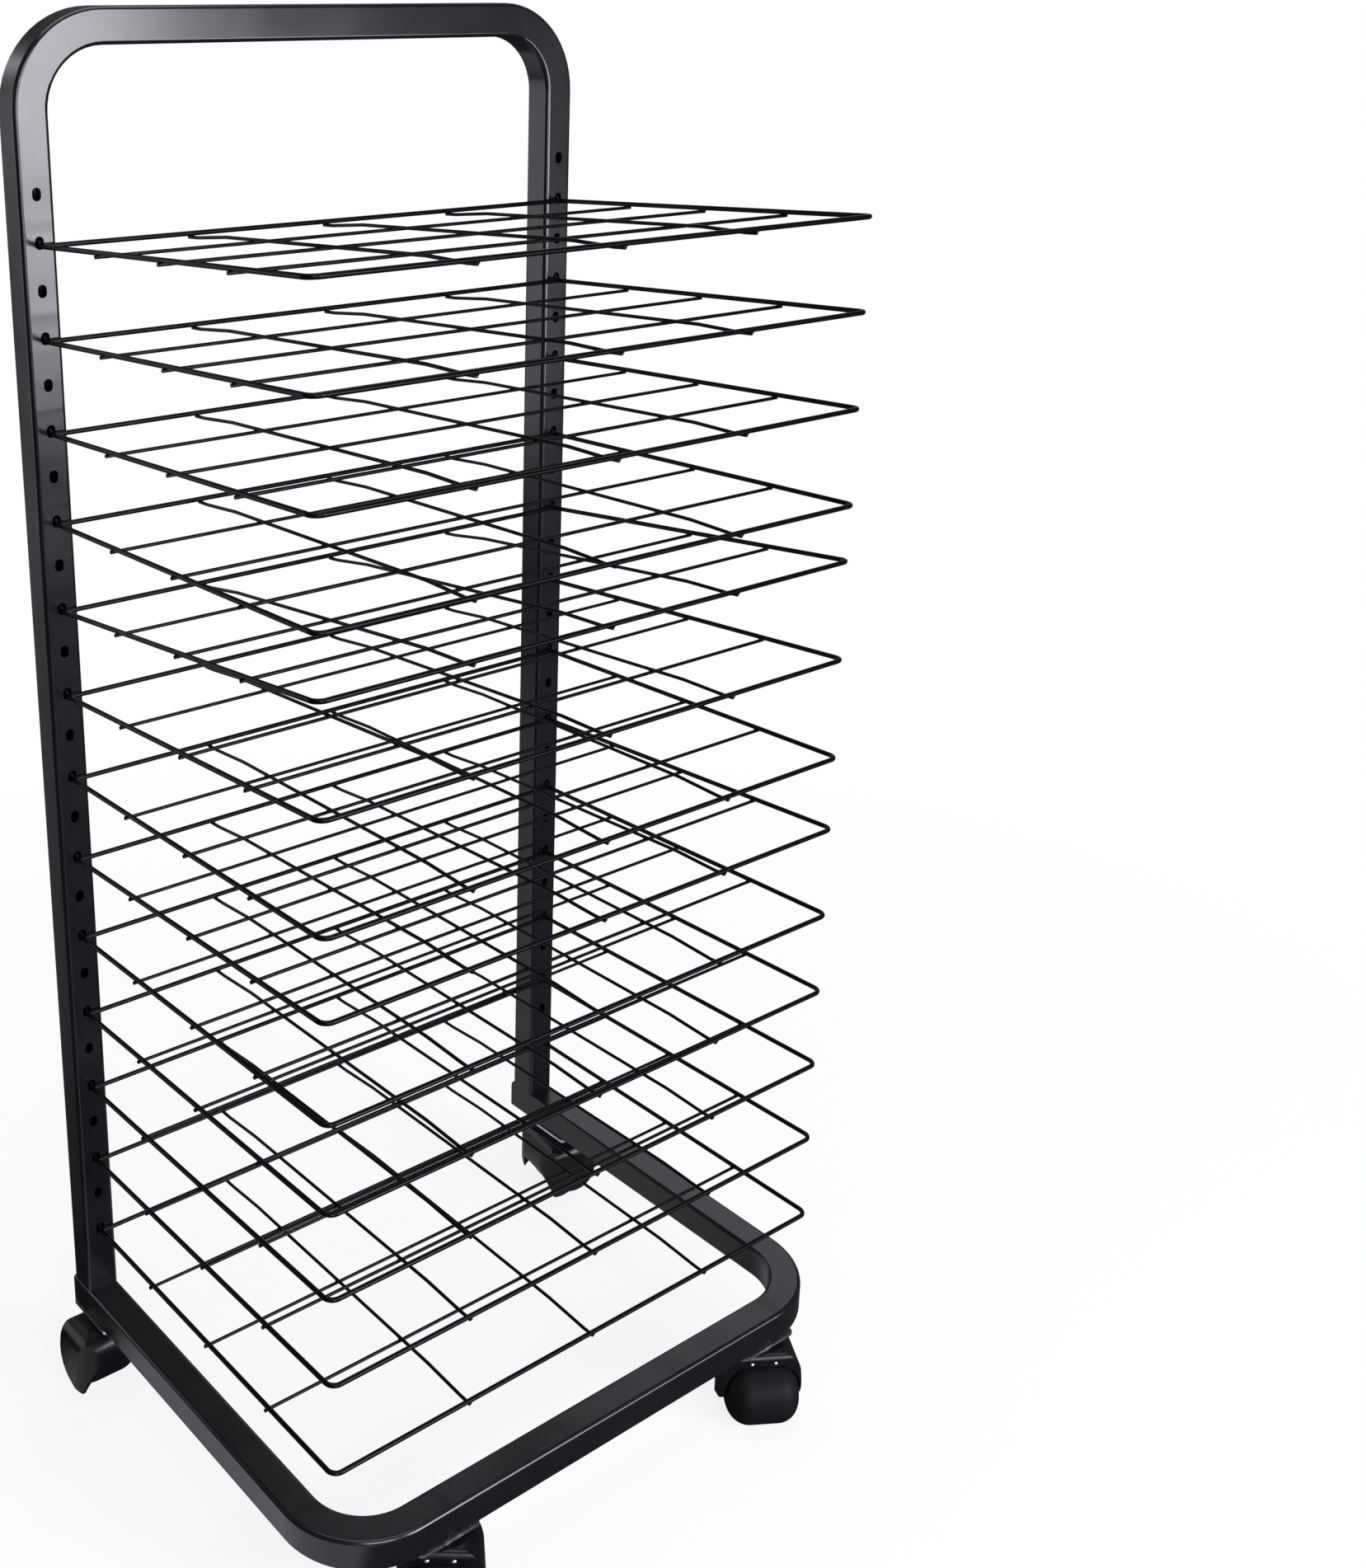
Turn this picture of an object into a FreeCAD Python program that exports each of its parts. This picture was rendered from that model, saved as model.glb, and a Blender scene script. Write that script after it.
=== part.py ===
import FreeCAD, Part
import math
import os

V = FreeCAD.Vector
X_AXIS = V(1, 0, 0)
Y_AXIS = V(0, 1, 0)
Z_AXIS = V(0, 0, 1)

# Sizes in millimetres. X runs along the shelf width, Y to the back, Z up.
# The floor is Z = 0, the rack's middle plane is X = 0 and Y = 0 is mid footprint.

# Square tube of the hoop and the base
TUBE = 25.0
TUBE_EDGE_R = 3.0
WALL = 1.5
CUT_PAST = 1.0
FLAT_WITHIN = 0.01
BEND_R = 55.0

# Hoop and base
FACE_Y = 170.0
SLOT_PITCH = 32.0
SLOT_COUNT = 26
TOP_TO_SLOT = 119.0
UPRIGHT_BELOW_SLOT = 855.0
COLUMN_SPACING = 455.0
BASE_LENGTH = 348.0

# Slots for the shelf hooks
SLOT_W = 6.5
SLOT_H = 9.0

# Wire shelves
FRAME_WIRE = 3.5
GRID_WIRE = 2.5
SHELF_DEPTH = 324.0
SHELF_CORNER_R = 7.0
HOOK_DROP = 2.0
HOOK_REACH = 2.9
HOOK_TIP = 6.0
HOOK_BEND_R = 2.6
REAR_WIRE_GAP = 0.3
WELD_BITE = 0.4
CELLS = 4
STUB = 0.5
JOGGLE_AT = 10.0
JOGGLE_RUN = 38.0
JOGGLE_R = 20.0
FIRST_SHELF_SLOT = 1
SHELF_SLOT_STEP = 2
SHELF_TILTS = [3.1, 3.0, 2.4, 1.5, 5.5, 3.7, 1.5, 2.7, 1.5, 1.4, 1.5, 1.2, 0.2]

# Joint between hoop and base
SPIGOT_CLEAR = 0.1
SPIGOT_WALL = 2.0
SPIGOT_H = 45.0
SPIGOT_SCREW_Z = 25.0
SCREW_R = 3.0
SCREW_HEAD_R = 5.5
SCREW_HEAD_H = 3.2
SCREW_HEAD_EDGE_R = 1.9
SCREW_PAST_SLEEVE = 3.0
SCREW_SOCKET_R = 2.0
SCREW_SOCKET_DEPTH = 1.8

# End caps of the base
CAP_T = 2.5
CAP_PLUG = 8.0
CAP_CLEAR = 0.1
CAP_NUT_ROOM = 0.5

# Casters
CASTER_H = 66.0
FRONT_LEFT_CASTER_IN = 79.5
FRONT_RIGHT_CASTER_IN = 60.5
REAR_LEFT_CASTER_BACK = 5.0
REAR_RIGHT_CASTER_BACK = -20.0
WHEEL_R = 25.0
WHEEL_W = 56.0
WHEEL_EDGE_R = 17.0
TYRE_T = 5.0
TRAIL = 11.0
PLATE_W = 25.0
PLATE_T = 2.5
PLATE_CORNER_R = 4.0
PLATE_BOLT_AT = 14.0
PLATE_END = 12.0
BOLT_R = 2.5
BOLT_HEAD_R = 4.2
BOLT_HEAD_H = 2.6
BOLT_HEAD_EDGE_R = 1.0
HOLE_CLEAR = 0.1
NUT_R = 4.0
NUT_COLLAR_R = 5.2
NUT_COLLAR_T = 1.2
NUT_H = 9.0
KINGPIN_R = 4.0
KINGPIN_HEAD_R = 6.5
KINGPIN_HEAD_H = 2.5
KINGPIN_HEAD_ROOM = 1.0
RUNNING_CLEAR = 0.05
RACE_BOLT_GAP = 0.8
RACE_H = 3.5
HOOD_T = 2.0
HOOD_SIDE_ROOM = 2.0
HOOD_TAPER = 3.0
HOOD_EDGE_R = 15.0
HOOD_BACK = 24.0
HOOD_PLAN_R = 20.0
BROW_AHEAD = 5.5
BROW_R = 5.0
BROW_FOOT_R = 10.0
ARCH_ROOM = 1.0
CHEEK_BELOW_AXLE = 5.0
CHEEK_AHEAD = 9.0
CHEEK_FRONT_R = 24.0
CHEEK_REAR_TIP_Y = -15.0
CHEEK_REAR_TIP_Z = 9.0
CHEEK_REAR_Z = 34.0
CHEEK_REAR_R = 30.0
AXLE_R = 2.5
AXLE_INSET = 0.3
STUD_R = 1.9
STUD_PROUD = 1.1
STUD_SPREAD = 9.3
SWIVEL_ANGLES = {"front_left": 141.0, "front_right": 148.0, "rear_left": 0.0, "rear_right": 260.0}

# Heights and positions that follow from the sizes above
BASE_BOTTOM = CASTER_H
BASE_TOP = BASE_BOTTOM + TUBE
FIRST_SLOT_Z = BASE_TOP + UPRIGHT_BELOW_SLOT
HOOP_TOP = FIRST_SLOT_Z + TOP_TO_SLOT
COLUMN_X = COLUMN_SPACING / 2.0
UPRIGHT_MID_Y = FACE_Y + TUBE / 2.0
BASE_FRONT_Y = FACE_Y - BASE_LENGTH
BASE_MID_FRONT_Y = BASE_FRONT_Y + TUBE / 2.0
BASE_REAR_Y = FACE_Y + TUBE
PLATE_BOTTOM = BASE_BOTTOM - PLATE_T
HOOD_TOP = PLATE_BOTTOM - RACE_H
PLATE_L = 2.0 * (PLATE_BOLT_AT + PLATE_END)
RACE_R = PLATE_BOLT_AT - BOLT_HEAD_R - RACE_BOLT_GAP
HOOD_LOW_HALF = WHEEL_W / 2.0 + HOOD_SIDE_ROOM + HOOD_T
HOOD_TOP_HALF = HOOD_LOW_HALF - HOOD_TAPER
CHEEK_FRONT_Z = WHEEL_R - CHEEK_BELOW_AXLE
BROW_Y = TRAIL + BROW_AHEAD
HOOD_BACK_R = HOOD_BACK - KINGPIN_HEAD_R
SHELF_COUNT = len(SHELF_TILTS)
CASTER_MOUNTS = {
    "front_left": (-COLUMN_X + FRONT_LEFT_CASTER_IN, BASE_MID_FRONT_Y, 90.0),
    "front_right": (COLUMN_X - FRONT_RIGHT_CASTER_IN, BASE_MID_FRONT_Y, 90.0),
    "rear_left": (-COLUMN_X, FACE_Y + REAR_LEFT_CASTER_BACK, 0.0),
    "rear_right": (COLUMN_X, FACE_Y + REAR_RIGHT_CASTER_BACK, 0.0),
}


def save(shape, node):
    shape.exportStep("parts/" + node + ".step")


def rounded_rect(w, h, r, centre, u, v):
    """Closed wire of a rounded rectangle, w along u and h along v."""
    a = w / 2.0 - r
    b = h / 2.0 - r
    c45 = r * math.sqrt(0.5)

    def at(s, t):
        return centre + u * s + v * t

    edges = []
    for su, sv in ((1, 1), (-1, 1), (-1, -1), (1, -1)):
        first = at(su * (a + r), sv * b) if su * sv > 0 else at(su * a, sv * (b + r))
        last = at(su * a, sv * (b + r)) if su * sv > 0 else at(su * (a + r), sv * b)
        middle = at(su * (a + c45), sv * (b + c45))
        edges.append(Part.Arc(first, middle, last).toShape())
    ends = [(e.Vertexes[0].Point, e.Vertexes[-1].Point) for e in edges]
    for i in range(4):
        edges.append(Part.makeLine(ends[i][1], ends[(i + 1) % 4][0]))
    return Part.Wire(Part.__sortEdges__(edges))


def bent_bar(points, size, edge_r, side):
    """Square bar along a flat path of three legs with round bends; side is normal to the path's plane."""
    pieces = []
    legs = [(points[i + 1] - points[i]).normalize() for i in range(3)]
    starts = [points[0], points[1] + legs[1] * BEND_R, points[2] + legs[2] * BEND_R]
    stops = [points[1] - legs[0] * BEND_R, points[2] - legs[1] * BEND_R, points[3]]
    for i in range(3):
        across = side.cross(legs[i])
        face = Part.Face(rounded_rect(size, size, edge_r, starts[i], across, side))
        pieces.append(face.extrude(stops[i] - starts[i]))
    for i in range(2):
        across = side.cross(legs[i])
        face = Part.Face(rounded_rect(size, size, edge_r, stops[i], across, side))
        pivot = stops[i] + legs[i + 1] * BEND_R
        turn = legs[i].cross(legs[i + 1])
        pieces.append(face.revolve(pivot, turn, 90.0))
    return pieces[0].multiFuse(pieces[1:]).removeSplitter()


def bent_tube(points, side):
    """Hollow tube: the inner bar runs past both ends, so the tube is open there."""
    outer = bent_bar(points, TUBE, TUBE_EDGE_R, side)
    first = (points[0] - points[1]).normalize()
    last = (points[3] - points[2]).normalize()
    inner_points = [points[0] + first, points[1], points[2], points[3] + last]
    inner = bent_bar(inner_points, TUBE - 2.0 * WALL, TUBE_EDGE_R - WALL, side)
    return outer.cut(inner)


def slot_cutter(x, z):
    """Upright slot with round ends through the front wall of an upright."""
    depth = WALL + 2.0 * CUT_PAST
    half = (SLOT_H - SLOT_W) / 2.0
    low = V(x, FACE_Y - CUT_PAST, z - half)
    middle = Part.makeBox(SLOT_W, depth, 2.0 * half, low - V(SLOT_W / 2.0, 0, 0))
    lower = Part.makeCylinder(SLOT_W / 2.0, depth, low, Y_AXIS)
    upper = Part.makeCylinder(SLOT_W / 2.0, depth, low + V(0, 0, 2.0 * half), Y_AXIS)
    return middle.fuse(lower).fuse(upper)


def slot_z(index):
    return FIRST_SLOT_Z - SLOT_PITCH * index


def hoop():
    mid_top = HOOP_TOP - TUBE / 2.0
    points = [
        V(-COLUMN_X, UPRIGHT_MID_Y, BASE_TOP),
        V(-COLUMN_X, UPRIGHT_MID_Y, mid_top),
        V(COLUMN_X, UPRIGHT_MID_Y, mid_top),
        V(COLUMN_X, UPRIGHT_MID_Y, BASE_TOP),
    ]
    shape = bent_tube(points, Y_AXIS)
    cutters = []
    for sx in (-1, 1):
        for k in range(SLOT_COUNT):
            cutters.append(slot_cutter(sx * COLUMN_X, slot_z(k)))
        screw_z = BASE_TOP + SPIGOT_SCREW_Z
        start = V(sx * COLUMN_X, UPRIGHT_MID_Y, screw_z)
        cutters.append(Part.makeCylinder(SCREW_R + HOLE_CLEAR, TUBE, start, Y_AXIS))
    return shape.cut(Part.Compound(cutters))


def base():
    mid_z = BASE_BOTTOM + TUBE / 2.0
    points = [
        V(-COLUMN_X, BASE_REAR_Y, mid_z),
        V(-COLUMN_X, BASE_MID_FRONT_Y, mid_z),
        V(COLUMN_X, BASE_MID_FRONT_Y, mid_z),
        V(COLUMN_X, BASE_REAR_Y, mid_z),
    ]
    shape = bent_tube(points, Z_AXIS)
    cutters = []
    for x, y, turn in CASTER_MOUNTS.values():
        low = BASE_BOTTOM - CUT_PAST
        depth = WALL + 2.0 * CUT_PAST
        r = KINGPIN_HEAD_R + KINGPIN_HEAD_ROOM
        cutters.append(Part.makeCylinder(r, depth, V(x, y, low)))
        for p in plate_bolt_points(x, y, turn):
            cutters.append(Part.makeCylinder(NUT_R + HOLE_CLEAR, depth, V(p.x, p.y, low)))
    return shape.cut(Part.Compound(cutters))


def spigots():
    """Square sleeves standing on the base inside the uprights."""
    solids = []
    size = TUBE - 2.0 * WALL - 2.0 * SPIGOT_CLEAR
    for sx in (-1, 1):
        start = V(sx * COLUMN_X, UPRIGHT_MID_Y, BASE_TOP)
        edge_r = TUBE_EDGE_R - WALL
        outer = Part.Face(rounded_rect(size, size, edge_r, start, X_AXIS, Y_AXIS))
        inner_size = size - 2.0 * SPIGOT_WALL
        inner = Part.Face(rounded_rect(inner_size, inner_size, edge_r, start, X_AXIS, Y_AXIS))
        sleeve = outer.cut(inner).extrude(V(0, 0, SPIGOT_H))
        hole_at = V(sx * COLUMN_X, UPRIGHT_MID_Y, BASE_TOP + SPIGOT_SCREW_Z)
        hole = Part.makeCylinder(SCREW_R + HOLE_CLEAR, TUBE, hole_at, Y_AXIS)
        solids.append(sleeve.cut(hole))
    return Part.Compound(solids)


def joint_screws():
    """Button head screws through the back of each upright into its sleeve."""
    solids = []
    back = FACE_Y + TUBE
    length = WALL + SPIGOT_CLEAR + SPIGOT_WALL + SCREW_PAST_SLEEVE
    for sx in (-1, 1):
        z = BASE_TOP + SPIGOT_SCREW_Z
        shank = Part.makeCylinder(SCREW_R, length, V(sx * COLUMN_X, back - length, z), Y_AXIS)
        head = Part.makeCylinder(SCREW_HEAD_R, SCREW_HEAD_H, V(sx * COLUMN_X, back, z), Y_AXIS)
        rim = [e for e in head.Edges if abs(e.BoundBox.YMin - back - SCREW_HEAD_H) < FLAT_WITHIN]
        head = head.makeFillet(SCREW_HEAD_EDGE_R, [e for e in rim if e.BoundBox.YLength < FLAT_WITHIN])
        socket_y = back + SCREW_HEAD_H - SCREW_SOCKET_DEPTH
        flats = []
        for i in range(7):
            a = math.radians(60.0 * i)
            dx = SCREW_SOCKET_R * math.cos(a)
            dz = SCREW_SOCKET_R * math.sin(a)
            flats.append(V(sx * COLUMN_X + dx, socket_y, z + dz))
        socket = Part.Face(Part.makePolygon(flats)).extrude(V(0, SCREW_SOCKET_DEPTH + CUT_PAST, 0))
        solids.append(shank.fuse(head).cut(socket).removeSplitter())
    return Part.Compound(solids)


def end_caps():
    """Plastic caps plugged into the open back ends of the base."""
    solids = []
    mid_z = BASE_BOTTOM + TUBE / 2.0
    plug_size = TUBE - 2.0 * WALL - 2.0 * CAP_CLEAR
    for name in ("rear_left", "rear_right"):
        mount = CASTER_MOUNTS[name]
        at = V(mount[0], BASE_REAR_Y, mid_z)
        head = Part.Face(rounded_rect(TUBE, TUBE, TUBE_EDGE_R, at, X_AXIS, Z_AXIS))
        head = head.extrude(V(0, CAP_T, 0))
        plug = Part.Face(rounded_rect(plug_size, plug_size, TUBE_EDGE_R - WALL, at, X_AXIS, Z_AXIS))
        plug = plug.extrude(V(0, -CAP_PLUG, 0))
        room = NUT_COLLAR_R + CAP_NUT_ROOM
        for p in plate_bolt_points(*mount):
            plug = plug.cut(Part.makeCylinder(room, TUBE, V(p.x, p.y, BASE_BOTTOM)))
        solids.append(head.fuse(plug).removeSplitter())
    return Part.Compound(solids)


def path_wire(points, radii):
    """Polyline with a round bend of the given radius at each inner point."""
    edges = []
    last = points[0]
    for i in range(1, len(points) - 1):
        a = (points[i - 1] - points[i]).normalize()
        b = (points[i + 1] - points[i]).normalize()
        half = a.getAngle(b) / 2.0
        cut = radii[i - 1] / math.tan(half)
        start = points[i] + a * cut
        stop = points[i] + b * cut
        middle_dir = (a + b).normalize()
        centre_gap = radii[i - 1] / math.sin(half)
        middle = points[i] + middle_dir * (centre_gap - radii[i - 1])
        edges.append(Part.makeLine(last, start))
        edges.append(Part.Arc(start, middle, stop).toShape())
        last = stop
    edges.append(Part.makeLine(last, points[-1]))
    return Part.Wire(edges)


def round_wire(points, radii, diameter):
    """Round bar swept along a bent path."""
    path = path_wire(points, radii)
    along = points[1] - points[0]
    profile = Part.Wire(Part.makeCircle(diameter / 2.0, points[0], along))
    return path.makePipeShell([profile], True, False)


def shelf_frame():
    """Outer wire: hook, side, front, side, hook. The origin is the middle of the slots' wall."""
    inside = HOOK_REACH
    level = -HOOK_DROP
    half = [(inside, inside + HOOK_TIP), (inside, inside), (level, level), (-SHELF_DEPTH, level)]
    points = [V(-COLUMN_X, y, z) for y, z in half]
    points += [V(COLUMN_X, y, z) for y, z in reversed(half)]
    bends = [HOOK_BEND_R, HOOK_BEND_R, SHELF_CORNER_R, SHELF_CORNER_R, HOOK_BEND_R, HOOK_BEND_R]
    return round_wire(points, bends, FRAME_WIRE)


def rear_wire_y():
    return -(WALL / 2.0 + REAR_WIRE_GAP + FRAME_WIRE / 2.0)


def grid_level():
    """Height of the grid wires' ends, welded to the underside of the outer wire."""
    return -HOOK_DROP - (FRAME_WIRE + GRID_WIRE) / 2.0 + WELD_BITE


def rear_wire():
    start = V(-COLUMN_X, rear_wire_y(), -HOOK_DROP)
    return Part.makeCylinder(FRAME_WIRE / 2.0, 2.0 * COLUMN_X, start, X_AXIS)


def cross_wires():
    """Straight wires across the shelf, welded under the side wires."""
    solids = []
    end = COLUMN_X + FRAME_WIRE / 2.0 + STUB
    for i in range(1, CELLS):
        y = rear_wire_y() + (-SHELF_DEPTH - rear_wire_y()) * i / CELLS
        solids.append(Part.makeCylinder(GRID_WIRE / 2.0, 2.0 * end, V(-end, y, grid_level()), X_AXIS))
    return solids


def long_wires():
    """Wires from back to front: ends under the outer wire, middle lying on the cross wires."""
    solids = []
    low = grid_level()
    high = low + GRID_WIRE - WELD_BITE
    back = rear_wire_y() + FRAME_WIRE / 2.0
    front = -SHELF_DEPTH - STUB
    rear_step = rear_wire_y() - JOGGLE_AT
    front_step = -SHELF_DEPTH + JOGGLE_AT
    line = [
        (back, low),
        (rear_step, low),
        (rear_step - JOGGLE_RUN, high),
        (front_step + JOGGLE_RUN, high),
        (front_step, low),
        (front, low),
    ]
    for i in range(1, CELLS):
        x = -COLUMN_X + 2.0 * COLUMN_X * i / CELLS
        solids.append(round_wire([V(x, y, z) for y, z in line], [JOGGLE_R] * 4, GRID_WIRE))
    return solids


def shelf():
    pieces = [rear_wire()] + cross_wires() + long_wires()
    return shelf_frame().multiFuse(pieces)


def place_shelf(shape, number, tilt):
    placed = shape.copy()
    placed.rotate(V(0, 0, 0), X_AXIS, -tilt)
    z = slot_z(FIRST_SHELF_SLOT + SHELF_SLOT_STEP * number)
    placed.translate(V(0, FACE_Y + WALL / 2.0, z))
    return placed


def plate_bolt_points(x, y, turn):
    a = math.radians(turn)
    along = V(-math.sin(a), math.cos(a), 0)
    return [V(x, y, 0) + along * PLATE_BOLT_AT, V(x, y, 0) - along * PLATE_BOLT_AT]


def caster_plates():
    solids = []
    for x, y, turn in CASTER_MOUNTS.values():
        a = math.radians(turn)
        along = V(-math.sin(a), math.cos(a), 0)
        across = V(math.cos(a), math.sin(a), 0)
        wire = rounded_rect(PLATE_W, PLATE_L, PLATE_CORNER_R, V(x, y, PLATE_BOTTOM), across, along)
        plate = Part.Face(wire).extrude(V(0, 0, PLATE_T))
        plate = plate.cut(Part.makeCylinder(KINGPIN_R + RUNNING_CLEAR, PLATE_T, V(x, y, PLATE_BOTTOM)))
        for p in plate_bolt_points(x, y, turn):
            hole = Part.makeCylinder(BOLT_R + HOLE_CLEAR, PLATE_T, V(p.x, p.y, PLATE_BOTTOM))
            plate = plate.cut(hole)
        solids.append(plate)
    return Part.Compound(solids)


def plate_bolts():
    """Pan head bolts under each plate; their shanks end in the rivet nuts."""
    solids = []
    low = PLATE_BOTTOM - BOLT_HEAD_H
    for x, y, turn in CASTER_MOUNTS.values():
        for p in plate_bolt_points(x, y, turn):
            head = Part.makeCylinder(BOLT_HEAD_R, BOLT_HEAD_H, V(p.x, p.y, low))
            rim = [e for e in head.Edges if abs(e.BoundBox.ZMax - low) < FLAT_WITHIN]
            head = head.makeFillet(BOLT_HEAD_EDGE_R, rim)
            shank = Part.makeCylinder(BOLT_R, PLATE_T + NUT_H, V(p.x, p.y, PLATE_BOTTOM))
            solids.append(head.fuse(shank).removeSplitter())
    return Part.Compound(solids)


def rivet_nuts():
    """Threaded inserts in the base's lower wall."""
    solids = []
    for x, y, turn in CASTER_MOUNTS.values():
        for p in plate_bolt_points(x, y, turn):
            body = Part.makeCylinder(NUT_R, NUT_H, V(p.x, p.y, BASE_BOTTOM))
            collar = Part.makeCylinder(NUT_COLLAR_R, NUT_COLLAR_T, V(p.x, p.y, BASE_BOTTOM + WALL))
            bore = Part.makeCylinder(BOLT_R + RUNNING_CLEAR, NUT_H, V(p.x, p.y, BASE_BOTTOM))
            solids.append(body.fuse(collar).cut(bore).removeSplitter())
    return Part.Compound(solids)


def kingpins():
    """Rivets on which the casters swivel: one head in the tube, one under the hood's top."""
    solids = []
    low = HOOD_TOP - HOOD_T - 2.0 * RUNNING_CLEAR
    for x, y, turn in CASTER_MOUNTS.values():
        shaft = Part.makeCylinder(KINGPIN_R, BASE_BOTTOM - low, V(x, y, low))
        top = Part.makeCylinder(KINGPIN_HEAD_R, KINGPIN_HEAD_H, V(x, y, BASE_BOTTOM))
        foot = Part.makeCylinder(KINGPIN_HEAD_R, KINGPIN_HEAD_H, V(x, y, low - KINGPIN_HEAD_H))
        solids.append(shaft.fuse(top).fuse(foot).removeSplitter())
    return Part.Compound(solids)


# Each caster is drawn with its kingpin on the Z axis, the wheel trailing towards +Y and its axle along X.


def hood_across(inset, low_z):
    """Block with the hood's outline as seen along the rolling direction."""
    top_z = HOOD_TOP - inset
    top = HOOD_TOP_HALF - inset
    low = HOOD_LOW_HALF - inset
    points = [V(-low, -HOOD_BACK, low_z), V(-top, -HOOD_BACK, top_z), V(top, -HOOD_BACK, top_z)]
    points.append(V(low, -HOOD_BACK, low_z))
    edges = list(path_wire(points, [HOOD_EDGE_R - inset] * 2).Edges)
    edges.append(Part.makeLine(points[-1], points[0]))
    return Part.Face(Part.Wire(edges)).extrude(V(0, HOOD_BACK + BROW_Y + CHEEK_AHEAD, 0))


def hood_plan(inset):
    """Block with the hood's outline as seen from above: its two back corners are round."""
    half = HOOD_LOW_HALF - inset
    back = -HOOD_BACK + inset
    front = BROW_Y + CHEEK_AHEAD
    points = [V(-half, front, 0), V(-half, back, 0), V(half, back, 0), V(half, front, 0)]
    edges = list(path_wire(points, [HOOD_PLAN_R - inset] * 2).Edges)
    edges.append(Part.makeLine(points[-1], points[0]))
    return Part.Face(Part.Wire(edges)).extrude(V(0, 0, HOOD_TOP))


def hood_side(line, end_r):
    """Block with a closed outline as seen along the axle; its first corner is not rounded."""
    points = [V(-HOOD_LOW_HALF, y, z) for y, z in line]
    return Part.Face(path_wire(points, end_r)).extrude(V(2.0 * HOOD_LOW_HALF, 0, 0))


def wheel_arch():
    """Opening in the brow around the wheel's outline as seen along the rolling direction."""
    half = WHEEL_W / 2.0 + ARCH_ROOM
    top = 2.0 * WHEEL_R + ARCH_ROOM
    corner = WHEEL_EDGE_R + ARCH_ROOM
    points = [V(-half, TRAIL, 0), V(-half, TRAIL, top), V(half, TRAIL, top), V(half, TRAIL, 0)]
    edges = list(path_wire(points, [corner, corner]).Edges)
    edges.append(Part.makeLine(points[-1], points[0]))
    return Part.Face(Part.Wire(edges)).extrude(V(0, BROW_AHEAD + CHEEK_AHEAD, 0))


def hood():
    """Pressed cover: domed back, brow with a wheel arch, cheeks that end in points below the axle."""
    outer_line = [
        (CHEEK_REAR_TIP_Y, CHEEK_REAR_TIP_Z),
        (-HOOD_BACK, CHEEK_REAR_Z),
        (-HOOD_BACK, HOOD_TOP),
        (BROW_Y, HOOD_TOP),
        (BROW_Y, 2.0 * WHEEL_R),
        (TRAIL + CHEEK_AHEAD, CHEEK_FRONT_Z),
        (CHEEK_REAR_TIP_Y, CHEEK_REAR_TIP_Z),
    ]
    outer = hood_side(outer_line, [CHEEK_REAR_R, HOOD_BACK_R, BROW_R, BROW_FOOT_R, CHEEK_FRONT_R])
    outer = outer.common(hood_across(0.0, CHEEK_REAR_TIP_Z)).common(hood_plan(0.0))
    back = -HOOD_BACK + HOOD_T
    face = BROW_Y - HOOD_T
    ceiling = HOOD_TOP - HOOD_T
    room_line = [(back, 0), (back, ceiling), (face, ceiling), (face, 0), (back, 0)]
    room = hood_side(room_line, [HOOD_BACK_R - HOOD_T, BROW_R - HOOD_T, HOOD_T])
    room = room.common(hood_across(HOOD_T, CHEEK_REAR_TIP_Z)).common(hood_plan(HOOD_T))
    bore = Part.makeCylinder(KINGPIN_R + RUNNING_CLEAR, 3.0 * HOOD_T, V(0, 0, HOOD_TOP - 2.0 * HOOD_T))
    hole_from = V(-2.0 * HOOD_LOW_HALF, TRAIL, WHEEL_R)
    axle_hole = Part.makeCylinder(AXLE_R + HOLE_CLEAR, 4.0 * HOOD_LOW_HALF, hole_from, X_AXIS)
    return outer.cut(room).cut(wheel_arch()).cut(bore).cut(axle_hole)


def race():
    ring = Part.makeCylinder(RACE_R, RACE_H - RUNNING_CLEAR, V(0, 0, HOOD_TOP))
    return ring.cut(Part.makeCylinder(KINGPIN_R + RUNNING_CLEAR, RACE_H, V(0, 0, HOOD_TOP)))


def hood_studs():
    """Two round heads side by side on the brow."""
    solids = []
    ball_r = (STUD_R ** 2 + STUD_PROUD ** 2) / (2.0 * STUD_PROUD)
    z = (HOOD_TOP - BROW_R + 2.0 * WHEEL_R + ARCH_ROOM) / 2.0
    for sx in (-1, 1):
        ball = Part.makeSphere(ball_r, V(sx * STUD_SPREAD, BROW_Y + STUD_PROUD - ball_r, z))
        corner = V(sx * STUD_SPREAD - 2.0 * STUD_R, BROW_Y, z - 2.0 * STUD_R)
        keep = Part.makeBox(4.0 * STUD_R, 2.0 * STUD_PROUD, 4.0 * STUD_R, corner)
        solids.append(ball.common(keep))
    return Part.Compound(solids)


def cheek_half(z):
    """Half width over the hood's cheeks at a height below its rounded top."""
    return HOOD_LOW_HALF - HOOD_TAPER * (z - CHEEK_REAR_TIP_Z) / (HOOD_TOP - CHEEK_REAR_TIP_Z)


def axle():
    """Pin pressed into the cheeks, its ends just inside their faces."""
    half = cheek_half(WHEEL_R + AXLE_R) - AXLE_INSET
    return Part.makeCylinder(AXLE_R, 2.0 * half, V(-half, TRAIL, WHEEL_R), X_AXIS)


def wheel_barrel():
    body = Part.makeCylinder(WHEEL_R, WHEEL_W, V(-WHEEL_W / 2.0, TRAIL, WHEEL_R), X_AXIS)
    rims = [e for e in body.Edges if e.BoundBox.XLength < FLAT_WITHIN]
    return body.makeFillet(WHEEL_EDGE_R, rims)


def wheel_rod(radius):
    return Part.makeCylinder(radius, WHEEL_W, V(-WHEEL_W / 2.0, TRAIL, WHEEL_R), X_AXIS)


def tyre():
    return wheel_barrel().cut(wheel_rod(WHEEL_R - TYRE_T))


def wheel_core():
    core = wheel_barrel().common(wheel_rod(WHEEL_R - TYRE_T))
    return core.cut(wheel_rod(AXLE_R + RUNNING_CLEAR))


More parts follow.
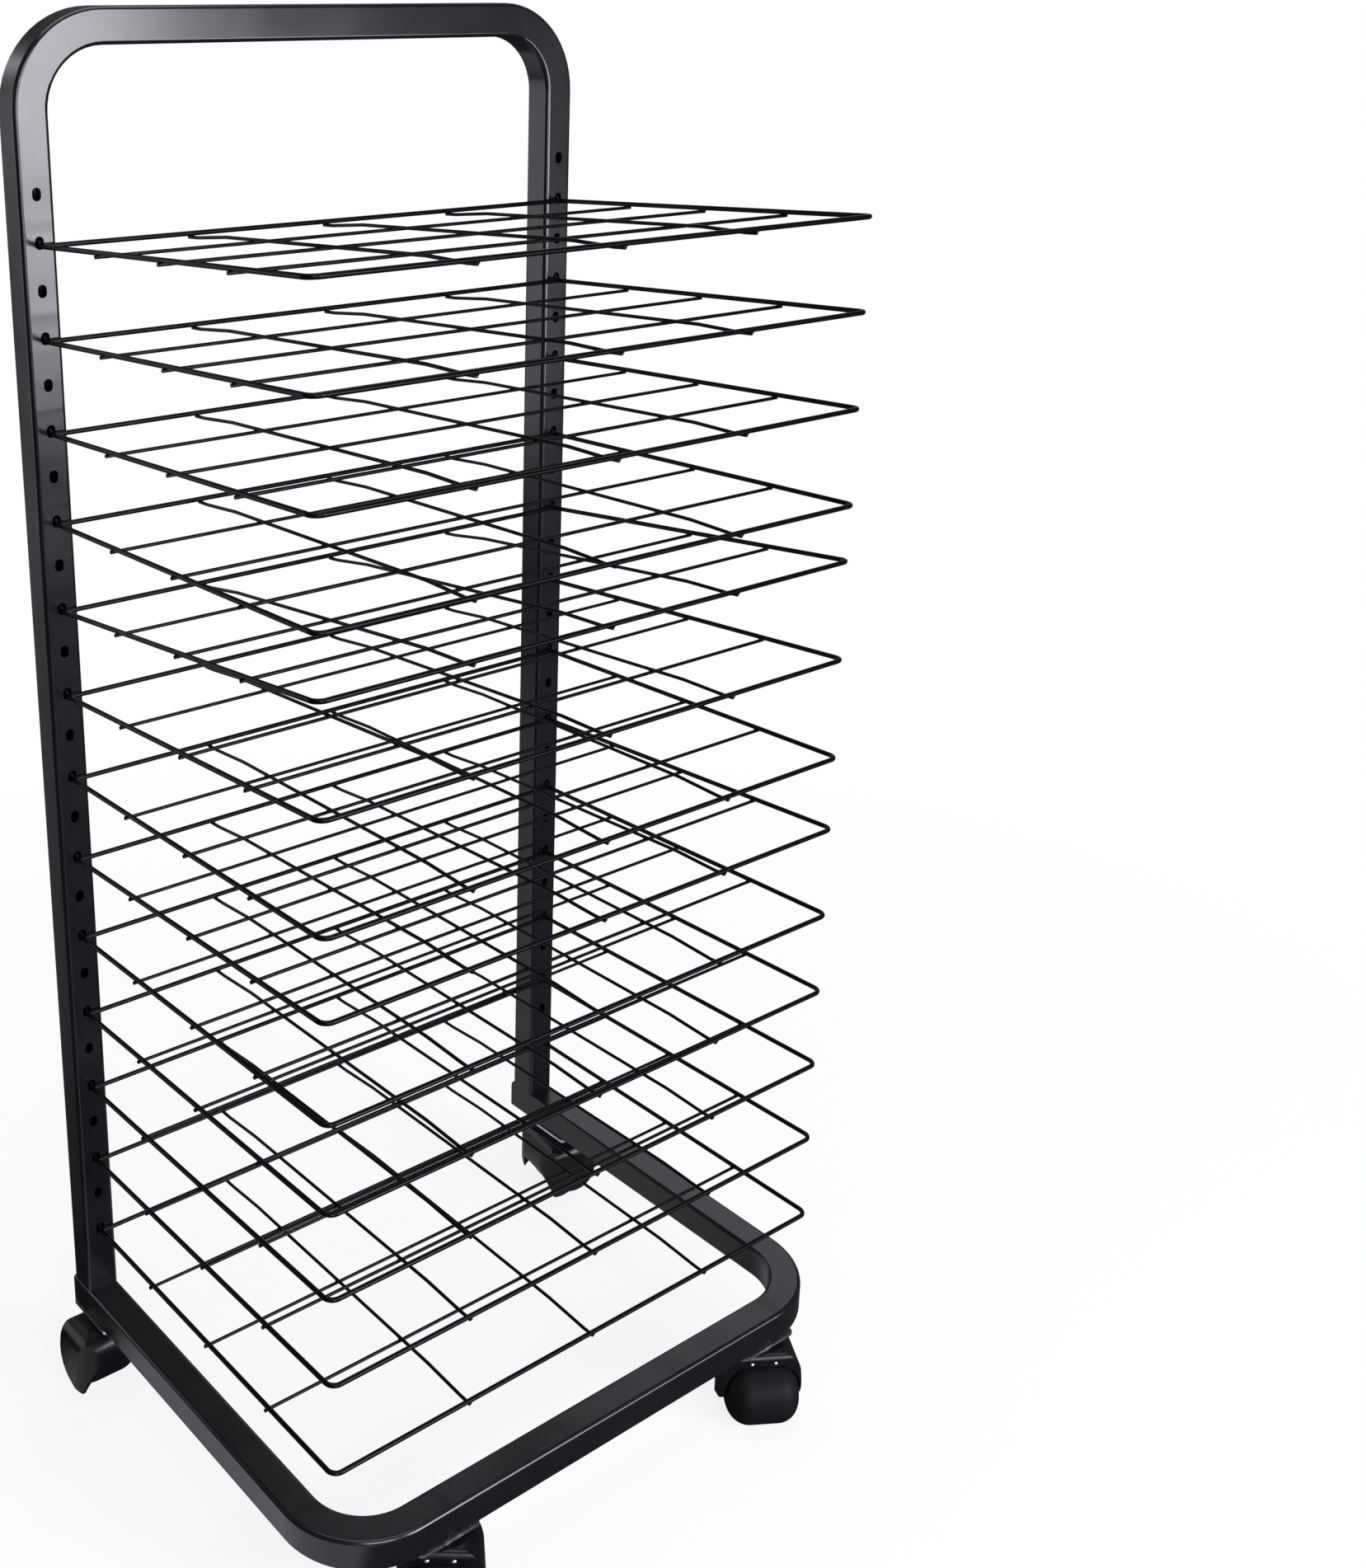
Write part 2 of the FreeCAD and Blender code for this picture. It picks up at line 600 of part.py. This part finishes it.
def place_caster(shape, name):
    x, y, turn = CASTER_MOUNTS[name]
    placed = shape.copy()
    placed.rotate(V(0, 0, 0), Z_AXIS, SWIVEL_ANGLES[name])
    placed.translate(V(x, y, 0))
    return placed


def main():
    os.makedirs("parts", exist_ok=True)
    save(hoop(), "hoop")
    save(base(), "base")
    save(spigots(), "spigots")
    save(joint_screws(), "joint_screws")
    save(end_caps(), "end_caps")
    save(caster_plates(), "caster_plates")
    save(plate_bolts(), "plate_bolts")
    save(rivet_nuts(), "rivet_nuts")
    save(kingpins(), "kingpins")
    one_shelf = shelf()
    for i in range(SHELF_COUNT):
        save(place_shelf(one_shelf, i, SHELF_TILTS[i]), "shelf_%02d" % (i + 1))
    pieces = {
        "hood": hood(),
        "race": race(),
        "hood_studs": hood_studs(),
        "axle": axle(),
        "wheel_core": wheel_core(),
        "tyre": tyre(),
    }
    for name in CASTER_MOUNTS:
        for piece in pieces:
            save(place_caster(pieces[piece], name), name + "_" + piece)


main()
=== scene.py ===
import bpy
import bmesh
import math
from mathutils import Matrix, Vector


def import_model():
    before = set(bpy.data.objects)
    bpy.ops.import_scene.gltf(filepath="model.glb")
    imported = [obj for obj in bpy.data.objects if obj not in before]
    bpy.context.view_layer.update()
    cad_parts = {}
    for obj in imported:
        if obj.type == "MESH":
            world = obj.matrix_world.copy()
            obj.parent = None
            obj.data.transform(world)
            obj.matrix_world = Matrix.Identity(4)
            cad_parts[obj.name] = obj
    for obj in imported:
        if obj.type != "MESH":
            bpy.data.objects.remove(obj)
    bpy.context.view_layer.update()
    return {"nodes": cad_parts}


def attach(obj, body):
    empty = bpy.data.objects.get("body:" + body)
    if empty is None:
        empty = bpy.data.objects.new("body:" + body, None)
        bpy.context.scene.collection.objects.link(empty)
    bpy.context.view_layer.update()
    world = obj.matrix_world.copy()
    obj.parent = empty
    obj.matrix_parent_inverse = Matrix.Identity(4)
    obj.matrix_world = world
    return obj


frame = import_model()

# The rack's own sizes, in metres, as the CAD has them
FACE_Y = 0.170
WALL = 0.0015
SLOT_PITCH = 0.032
FIRST_SLOT_Z = 0.946
COLUMN_X = 0.2275
SHELF_DEPTH = 0.324
HOOK_DROP = 0.002
FRAME_WIRE = 0.0035
GRID_WIRE = 0.0025
WELD_BITE = 0.0004
REAR_WIRE_GAP = 0.0003
CELLS = 4
SHELF_SLOT_STEP = 2
SHELF_TILTS = [3.1, 3.0, 2.4, 1.5, 5.5, 3.7, 1.5, 2.7, 1.5, 1.4, 1.5, 1.2, 0.2]

# The weld spots, in metres: flat grains, a little longer one way or the other from spot to spot
WELD_RADIUS = 0.0019
WELD_HALF_HEIGHT = 0.0012
OUTER_WELD_DROP = 0.0003
WOBBLE = 0.18
WOBBLE_PER_SPOT = 7.3
WOBBLE_PER_SHELF = 2.1

# The part of a noise's range that most of its values lie in
NOISE_CORE = (0.3, 0.7)

# How much darker and lighter a colour's two tones are, on enamel and on plastic
ENAMEL_TONES = (0.8, 1.25)
PLASTIC_TONES = (0.75, 1.35)

# Dust on faces that look up: the even film, the spots on it, and what full dust adds to roughness
DUST_FILM = 0.12
DUST_SPOTS = 0.45
DUST_ROUGHNESS = 0.15

# The shares of the clouds and of the scratches in the enamel's roughness
CLOUD_SHARE = 0.85
SCRATCH_SHARE = 0.15

# The floor as the camera and the diffuse light have it, and how white the camera sees it near
# the rack and far from it
FLOOR_PALE = (0.88, 0.88, 0.88)
FLOOR_WHITENESS = (0.84, 1.0)
WHITENESS_REACH = (0.3, 1.4)

# Painted reflections: the floor is painted dark and bright by zones that only glossy rays see,
# which paints shade and highlights into the rack's reflections. Their tones, and the edges of the
# zones as soft steps in metres
PAINTED_DARK_REFLECTION = (0.05, 0.05, 0.055)
PAINTED_BRIGHT_REFLECTION = (0.62, 0.62, 0.63)
PAINTED_LEFT_HIGHLIGHT_PATCH = (0.84, 0.84, 0.85)
PAINTED_LEFT_SHADE_NEAR = (0.03, 0.03, 0.03)
PAINTED_LEFT_SHADE_FAR = (0.16, 0.16, 0.165)
LEFT_SIDE_DEPTH = (0.5, 2.0)
LEFT_SIDE_EDGE = (-0.27, -0.25)
PATCH_LEFT_EDGE = (-0.40, -0.36)
PATCH_BACK_EDGE = (0.17, 0.24)
BRIGHT_FRONT_EDGE = (-0.10, -0.03)
BRIGHT_RIGHT_EDGE = (0.22, 0.26)
SLANT_PER_METRE = 0.478
SLANTED_EDGE = (-0.13, -0.06)

# White, the even light of the surroundings, and the colour of the panels' light
WHITE = (1.0, 1.0, 1.0, 1.0)
WORLD_LIGHT = 0.10
PANEL_COLOUR = (1.0, 0.985, 1.07)

# Soft panels: name, place, the point it faces, width, height, radiance
PANELS = [
    ("key", (0.82, -2.5, 1.14), (0.82, 0.0, 1.14), 1.05, 1.72, 14.0),
    ("low", (1.75, -2.5, 0.45), (0.0, -0.2, 0.1), 0.7, 0.5, 12.0),
    ("edge", (-1.0, -2.4, 1.3), (0.0, 0.0, 0.8), 1.4, 1.6, 7.0),
    ("left_back", (-1.9, 2.3, 0.7), (0.0, 0.1, 0.6), 0.9, 1.4, 1.5),
    ("right_back", (2.1, 1.9, 2.2), (0.1, 0.0, 0.1), 1.6, 1.6, 0.9),
    ("back", (-0.6, 3.0, 1.3), (0.0, 0.2, 0.7), 1.2, 1.6, 1.8),
    ("top", (0.0, 0.0, 2.8), (0.0, 0.0, 0.0), 2.0, 2.0, 2.2),
]

# The camera that took the picture: lens in millimetres, shifts in shares of the picture's
# height, place in metres, angles in degrees
SENSOR_HEIGHT = 36.0
LENS = 43.062
SHIFT_X = 0.1589
SHIFT_Y = -0.1390
CAMERA_PLACE = (-0.7799, -0.9854, 1.0776)
CAMERA_YAW = 37.354
CAMERA_PITCH = -17.198


# ---------------------------------------------------------------- node trees


class Nodes:
    """Small helper for the node tree of a material or of the world."""

    def __init__(self, owner):
        owner.use_nodes = True
        self.tree = owner.node_tree

    def add(self, kind, **values):
        """New node; each value goes to the node's setting or else its input of that name."""
        node = self.tree.nodes.new(kind)
        for key, value in values.items():
            if hasattr(node, key):
                setattr(node, key, value)
            else:
                node.inputs[key.replace("_", " ")].default_value = value
        return node

    def link(self, a, b):
        self.tree.links.new(a, b)

    def feed(self, socket, value):
        """Link an output to the socket, or set the socket to a number or a colour."""
        if isinstance(value, bpy.types.NodeSocket):
            self.link(value, socket)
        elif isinstance(value, tuple):
            socket.default_value = (*value, 1.0)
        else:
            socket.default_value = value

    def span(self, value, source, target=(0.0, 1.0)):
        """Map the source range to the target range, clamped."""
        node = self.add("ShaderNodeMapRange", From_Min=source[0], From_Max=source[1],
                        To_Min=target[0], To_Max=target[1])
        self.link(value, node.inputs["Value"])
        return node.outputs["Result"]

    def fall(self, value, source):
        """1 below the source range, 0 above it."""
        return self.span(value, source, (1.0, 0.0))

    def mix(self, factor, a, b):
        node = self.add("ShaderNodeMix", data_type="RGBA")
        self.link(factor, node.inputs[0])
        self.feed(node.inputs[6], a)
        self.feed(node.inputs[7], b)
        return node.outputs[2]

    def mix_shaders(self, factor, a, b):
        node = self.add("ShaderNodeMixShader")
        for socket, value in zip(node.inputs, (factor, a, b)):
            self.link(value, socket)
        return node.outputs[0]

    def math(self, operation, a, b):
        node = self.add("ShaderNodeMath", operation=operation)
        self.feed(node.inputs[0], a)
        self.feed(node.inputs[1], b)
        return node.outputs[0]

    def add_up(self, a, b):
        return self.math("ADD", a, b)

    def multiply(self, a, b):
        return self.math("MULTIPLY", a, b)


class Surface(Nodes):
    """The node tree of a new material."""

    def __init__(self, name):
        self.material = bpy.data.materials.new(name)
        super().__init__(self.material)
        self.shader = self.tree.nodes["Principled BSDF"]
        self.place = self.add("ShaderNodeTexCoord").outputs["Object"]

    def noise(self, scale, detail, roughness, stretch=(1.0, 1.0, 1.0)):
        mapping = self.add("ShaderNodeMapping", Scale=stretch)
        self.link(self.place, mapping.inputs["Vector"])
        node = self.add("ShaderNodeTexNoise", Scale=scale, Detail=detail, Roughness=roughness)
        self.link(mapping.outputs["Vector"], node.inputs["Vector"])
        return node.outputs["Fac"]

    def axes(self, vector):
        """X, Y and Z of a vector."""
        split = self.add("ShaderNodeSeparateXYZ")
        self.link(vector, split.inputs[0])
        return split.outputs

    def up_facing(self):
        """0 on undersides and walls, 1 on faces that look up."""
        normal = self.add("ShaderNodeNewGeometry").outputs["Normal"]
        return self.span(self.axes(normal)["Z"], (0.55, 1.0))

    def bump(self, layers):
        """Layers of (height, strength, distance), the last one on top."""
        last = None
        for height, strength, distance in layers:
            node = self.add("ShaderNodeBump", Strength=strength, Distance=distance)
            self.link(height, node.inputs["Height"])
            if last is not None:
                self.link(last, node.inputs["Normal"])
            last = node.outputs["Normal"]
        self.link(last, self.shader.inputs["Normal"])

    def look(self, colour, roughness):
        """Link both to the shader."""
        self.link(colour, self.shader.inputs["Base Color"])
        self.link(roughness, self.shader.inputs["Roughness"])

    def set(self, **values):
        for key, value in values.items():
            self.shader.inputs[key.replace("_", " ")].default_value = value


# ---------------------------------------------------------------- materials


def tones(colour, factors):
    """The colour's darker and its lighter tone."""
    return [tuple(c * factor for c in colour) for factor in factors]


def enamel(name, colour, dusty, dust_amount, rough, peel, specular):
    """Gloss paint: faint clouds, orange peel, fine scratches and a little dust on top faces."""
    n = Surface(name)
    cloud = n.noise(scale=14.0, detail=4.0, roughness=0.55)
    grain = n.noise(scale=900.0, detail=2.0, roughness=0.5)
    scratch = n.noise(scale=260.0, detail=3.0, roughness=0.6, stretch=(1.0, 1.0, 0.03))
    orange_peel = n.noise(scale=120.0, detail=2.0, roughness=0.5)
    spots = n.span(n.noise(scale=420.0, detail=4.0, roughness=0.7), (0.5, 0.75))
    dust = n.multiply(n.up_facing(), n.add_up(n.multiply(spots, DUST_SPOTS), DUST_FILM))
    paint = n.mix(n.span(cloud, NOISE_CORE), *tones(colour, ENAMEL_TONES))
    wear = n.add_up(n.multiply(cloud, CLOUD_SHARE), n.multiply(scratch, SCRATCH_SHARE))
    n.look(n.mix(n.multiply(dust, dust_amount), paint, dusty),
           n.add_up(n.span(wear, NOISE_CORE, rough), n.multiply(dust, DUST_ROUGHNESS)))
    n.bump([(orange_peel, 0.12, peel), (grain, 0.10, peel * 0.25)])
    n.set(Specular_IOR_Level=specular)
    return n.material


def metal(name, dark, light, rough):
    """Plated or rolled steel: mottled tone, fine grain and light wear."""
    n = Surface(name)
    mottle = n.noise(scale=180.0, detail=5.0, roughness=0.65)
    brush = n.noise(scale=600.0, detail=3.0, roughness=0.6, stretch=(0.1, 1.0, 1.0))
    n.look(n.mix(n.span(mottle, (0.35, 0.65)), dark, light), n.span(brush, NOISE_CORE, rough))
    n.bump([(mottle, 0.15, 0.0002), (brush, 0.15, 0.0001)])
    n.set(Metallic=1.0)
    return n.material


def plastic(name, colour, rough, grain_scale, specular):
    """Moulded plastic or rubber: fine eroded grain and slight bloom."""
    n = Surface(name)
    bloom = n.noise(scale=60.0, detail=4.0, roughness=0.6)
    grain = n.noise(scale=grain_scale, detail=3.0, roughness=0.55)
    n.look(n.mix(n.span(bloom, NOISE_CORE), *tones(colour, PLASTIC_TONES)),
           n.span(bloom, NOISE_CORE, rough))
    n.bump([(grain, 0.25, 0.0002)])
    n.set(Specular_IOR_Level=specular)
    return n.material


FINISHES = {
    "frame": enamel("frame_enamel", (0.0042, 0.0039, 0.0054), dusty=(0.14, 0.13, 0.13),
                    dust_amount=0.04, rough=(0.17, 0.23), peel=0.0001, specular=0.5),
    "wire": enamel("wire_enamel", (0.0019, 0.0018, 0.0022), dusty=(0.05, 0.05, 0.05),
                   dust_amount=0.01, rough=(0.18, 0.25), peel=0.00001, specular=0.10),
    "hood": enamel("hood_enamel", (0.0035, 0.0033, 0.0043), dusty=(0.08, 0.08, 0.08),
                   dust_amount=0.04, rough=(0.24, 0.33), peel=0.0002, specular=0.35),
    "zinc": metal("zinc_plate", (0.52, 0.53, 0.55), (0.78, 0.79, 0.80), rough=(0.22, 0.38)),
    "steel": metal("bright_steel", (0.45, 0.45, 0.46), (0.68, 0.68, 0.69), rough=(0.18, 0.32)),
    "tyre": plastic("wheel_tread", (0.0045, 0.0043, 0.0052), rough=(0.46, 0.60),
                    grain_scale=1400.0, specular=0.09),
    "core": plastic("wheel_core", (0.0045, 0.0044, 0.0052), rough=(0.42, 0.55),
                    grain_scale=1000.0, specular=0.12),
    "cap": plastic("cap_plastic", (0.018, 0.018, 0.019), rough=(0.38, 0.50),
                   grain_scale=1200.0, specular=0.45),
}

# How a node's name ends, and its finish
FINISH_BY_ENDING = {
    ("caster_plates", "_race"): "zinc",
    ("plate_bolts", "rivet_nuts", "kingpins", "_hood_studs"): "steel",
    ("_hood", "_axle"): "hood",
    ("_tyre",): "tyre",
    ("_wheel_core",): "core",
    ("end_caps",): "cap",
}


def finish_of(node):
    if node.startswith("shelf_"):
        return "wire"
    for endings, finish in FINISH_BY_ENDING.items():
        if node.endswith(endings):
            return finish
    return "frame"


for node, obj in frame["nodes"].items():
    obj.data.materials.clear()
    obj.data.materials.append(FINISHES[finish_of(node)])


# ---------------------------------------------------------------- new pieces


def show(name, data):
    """Put a new object of that name and data into the scene."""
    obj = bpy.data.objects.new(name, data)
    bpy.context.scene.collection.objects.link(obj)
    return obj


def piece(name, bm, material):
    """New object from a finished bmesh, which is freed."""
    mesh = bpy.data.meshes.new(name)
    bm.to_mesh(mesh)
    bm.free()
    mesh.materials.append(material)
    return show(name, mesh)


# ---------------------------------------------------------------- weld spots on the shelves


def shelf_to_rack(number, tilt):
    """Matrix from a shelf's own axes, at the middle of its slots' wall, to the rack's."""
    z = FIRST_SLOT_Z - SLOT_PITCH * (SHELF_SLOT_STEP * number + 1)
    turn = Matrix.Rotation(math.radians(-tilt), 4, "X")
    return Matrix.Translation((0.0, FACE_Y + WALL / 2.0, z)) @ turn


def weld_points():
    """Places where two wires of a shelf cross, step by step: at the outer wires, then inside."""
    cross_z = -HOOK_DROP - (FRAME_WIRE + GRID_WIRE) / 2.0 + WELD_BITE
    long_z = cross_z + GRID_WIRE - WELD_BITE
    inner_z = (cross_z + long_z) / 2.0
    outer_z = (cross_z - HOOK_DROP) / 2.0 - OUTER_WELD_DROP
    rear = -(WALL / 2.0 + REAR_WIRE_GAP + FRAME_WIRE / 2.0)
    front = -SHELF_DEPTH
    columns = [-COLUMN_X + 2.0 * COLUMN_X * i / CELLS for i in range(1, CELLS)]
    rows = [rear + (front - rear) * i / CELLS for i in range(1, CELLS)]
    points = []
    for x, y in zip(columns, rows):
        points += [(x, rear, outer_z), (x, front, outer_z),
                   (-COLUMN_X, y, outer_z), (COLUMN_X, y, outer_z)]
        points += [(x, row, inner_z) for row in rows]
    return points


def welds(number, tilt):
    bm = bmesh.new()
    for k, place in enumerate(weld_points()):
        wobble = 1.0 + WOBBLE * math.sin(WOBBLE_PER_SPOT * k + WOBBLE_PER_SHELF * number)
        size = Matrix.Diagonal((WELD_RADIUS * wobble, WELD_RADIUS / wobble, WELD_HALF_HEIGHT, 1.0))
        bmesh.ops.create_icosphere(bm, subdivisions=2, radius=1.0,
                                   matrix=Matrix.Translation(place) @ size)
    for face in bm.faces:
        face.smooth = True
    name = "shelf_%02d" % (number + 1)
    obj = piece(name + "_welds", bm, FINISHES["wire"])
    obj.data.transform(shelf_to_rack(number, tilt))
    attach(obj, name + "_body")


for number, tilt in enumerate(SHELF_TILTS):
    welds(number, tilt)


# ---------------------------------------------------------------- floor, light and camera


def painted_floor_reflections(n):
    """Painted reflections: the floor's tone as glossy rays see it, painted dark and bright by
    zones so that the rack's reflections show painted shade and painted highlights. Left of a
    slanted line it is dark, but for a bright patch beside the rack. Right of the line it is dark
    in front and past the rack's right side, and bright from the rack's middle backwards."""
    axes = n.axes(n.place)
    x, y = axes["X"], axes["Y"]
    side = n.mix(n.span(y, LEFT_SIDE_DEPTH), PAINTED_LEFT_SHADE_NEAR, PAINTED_LEFT_SHADE_FAR)
    patch = n.multiply(n.span(x, PATCH_LEFT_EDGE), n.fall(y, PATCH_BACK_EDGE))
    left = n.mix(n.span(x, LEFT_SIDE_EDGE), n.mix(patch, side, PAINTED_LEFT_HIGHLIGHT_PATCH), PAINTED_DARK_REFLECTION)
    under = n.multiply(n.span(y, BRIGHT_FRONT_EDGE), n.fall(x, BRIGHT_RIGHT_EDGE))
    right = n.mix(under, PAINTED_DARK_REFLECTION, PAINTED_BRIGHT_REFLECTION)
    slant = n.add_up(x, n.multiply(y, SLANT_PER_METRE))
    return n.mix(n.span(slant, SLANTED_EDGE), left, right)


def floor():
    """White to the camera with a faint shadow, pale to diffuse light, and darker by painted zones
    in glossy reflections, which paint shade and highlights into the rack's reflections."""
    bm = bmesh.new()
    bmesh.ops.create_circle(bm, cap_ends=True, segments=96, radius=14.0)
    n = Surface("pale_floor")
    n.set(Roughness=0.9, Specular_IOR_Level=0.1)
    ray = n.add("ShaderNodeLightPath").outputs
    # Glossy rays see the floor painted dark and bright by zones: painted reflections on the rack
    n.link(n.mix(ray["Is Glossy Ray"], FLOOR_PALE, painted_floor_reflections(n)),
           n.shader.inputs["Base Color"])
    distance = n.add("ShaderNodeVectorMath", operation="LENGTH")
    n.link(n.place, distance.inputs[0])
    whiteness = n.span(distance.outputs["Value"], WHITENESS_REACH, FLOOR_WHITENESS)
    white = n.add("ShaderNodeEmission", Color=WHITE)
    seen = n.mix_shaders(n.multiply(ray["Is Camera Ray"], whiteness),
                         n.shader.outputs[0], white.outputs[0])
    n.link(seen, n.tree.nodes["Material Output"].inputs["Surface"])
    obj = piece("floor", bm, n.material)


def world():
    """White to the camera, also through clear pieces, and a weak even light to everything else."""
    studio = bpy.data.worlds.new("studio")
    bpy.context.scene.world = studio
    n = Nodes(studio)
    light = n.tree.nodes["Background"]
    light.inputs["Color"].default_value = WHITE
    light.inputs["Strength"].default_value = WORLD_LIGHT
    white = n.add("ShaderNodeBackground", Color=WHITE, Strength=1.0)
    ray = n.add("ShaderNodeLightPath").outputs
    seen = n.math("MAXIMUM", ray["Is Camera Ray"], ray["Is Transmission Ray"])
    n.link(n.mix_shaders(seen, light.outputs[0], white.outputs[0]),
           n.tree.nodes["World Output"].inputs["Surface"])


def panel(name, place, target, width, height, radiance):
    """Rectangular soft light, facing a point."""
    light = bpy.data.lights.new(name, "AREA")
    light.shape = "RECTANGLE"
    light.size = width
    light.size_y = height
    light.energy = radiance * math.pi * width * height
    light.color = PANEL_COLOUR
    obj = show(name, light)
    obj.location = place
    obj.rotation_euler = (Vector(target) - Vector(place)).to_track_quat("-Z", "Y").to_euler()
    obj.visible_camera = False


def camera():
    data = bpy.data.cameras.new("camera")
    data.sensor_fit = "VERTICAL"
    data.sensor_height = SENSOR_HEIGHT
    data.lens = LENS
    data.shift_x = SHIFT_X
    data.shift_y = SHIFT_Y
    data.clip_end = 100.0
    yaw, pitch = math.radians(CAMERA_YAW), math.radians(CAMERA_PITCH)
    ahead = Vector((math.sin(yaw) * math.cos(pitch), math.cos(yaw) * math.cos(pitch),
                    math.sin(pitch)))
    obj = show("camera", data)
    obj.location = CAMERA_PLACE
    obj.rotation_euler = ahead.to_track_quat("-Z", "Y").to_euler()
    bpy.context.scene.camera = obj


floor()
world()
for values in PANELS:
    panel(*values)
camera()

bpy.context.scene.view_settings.view_transform = "Standard"
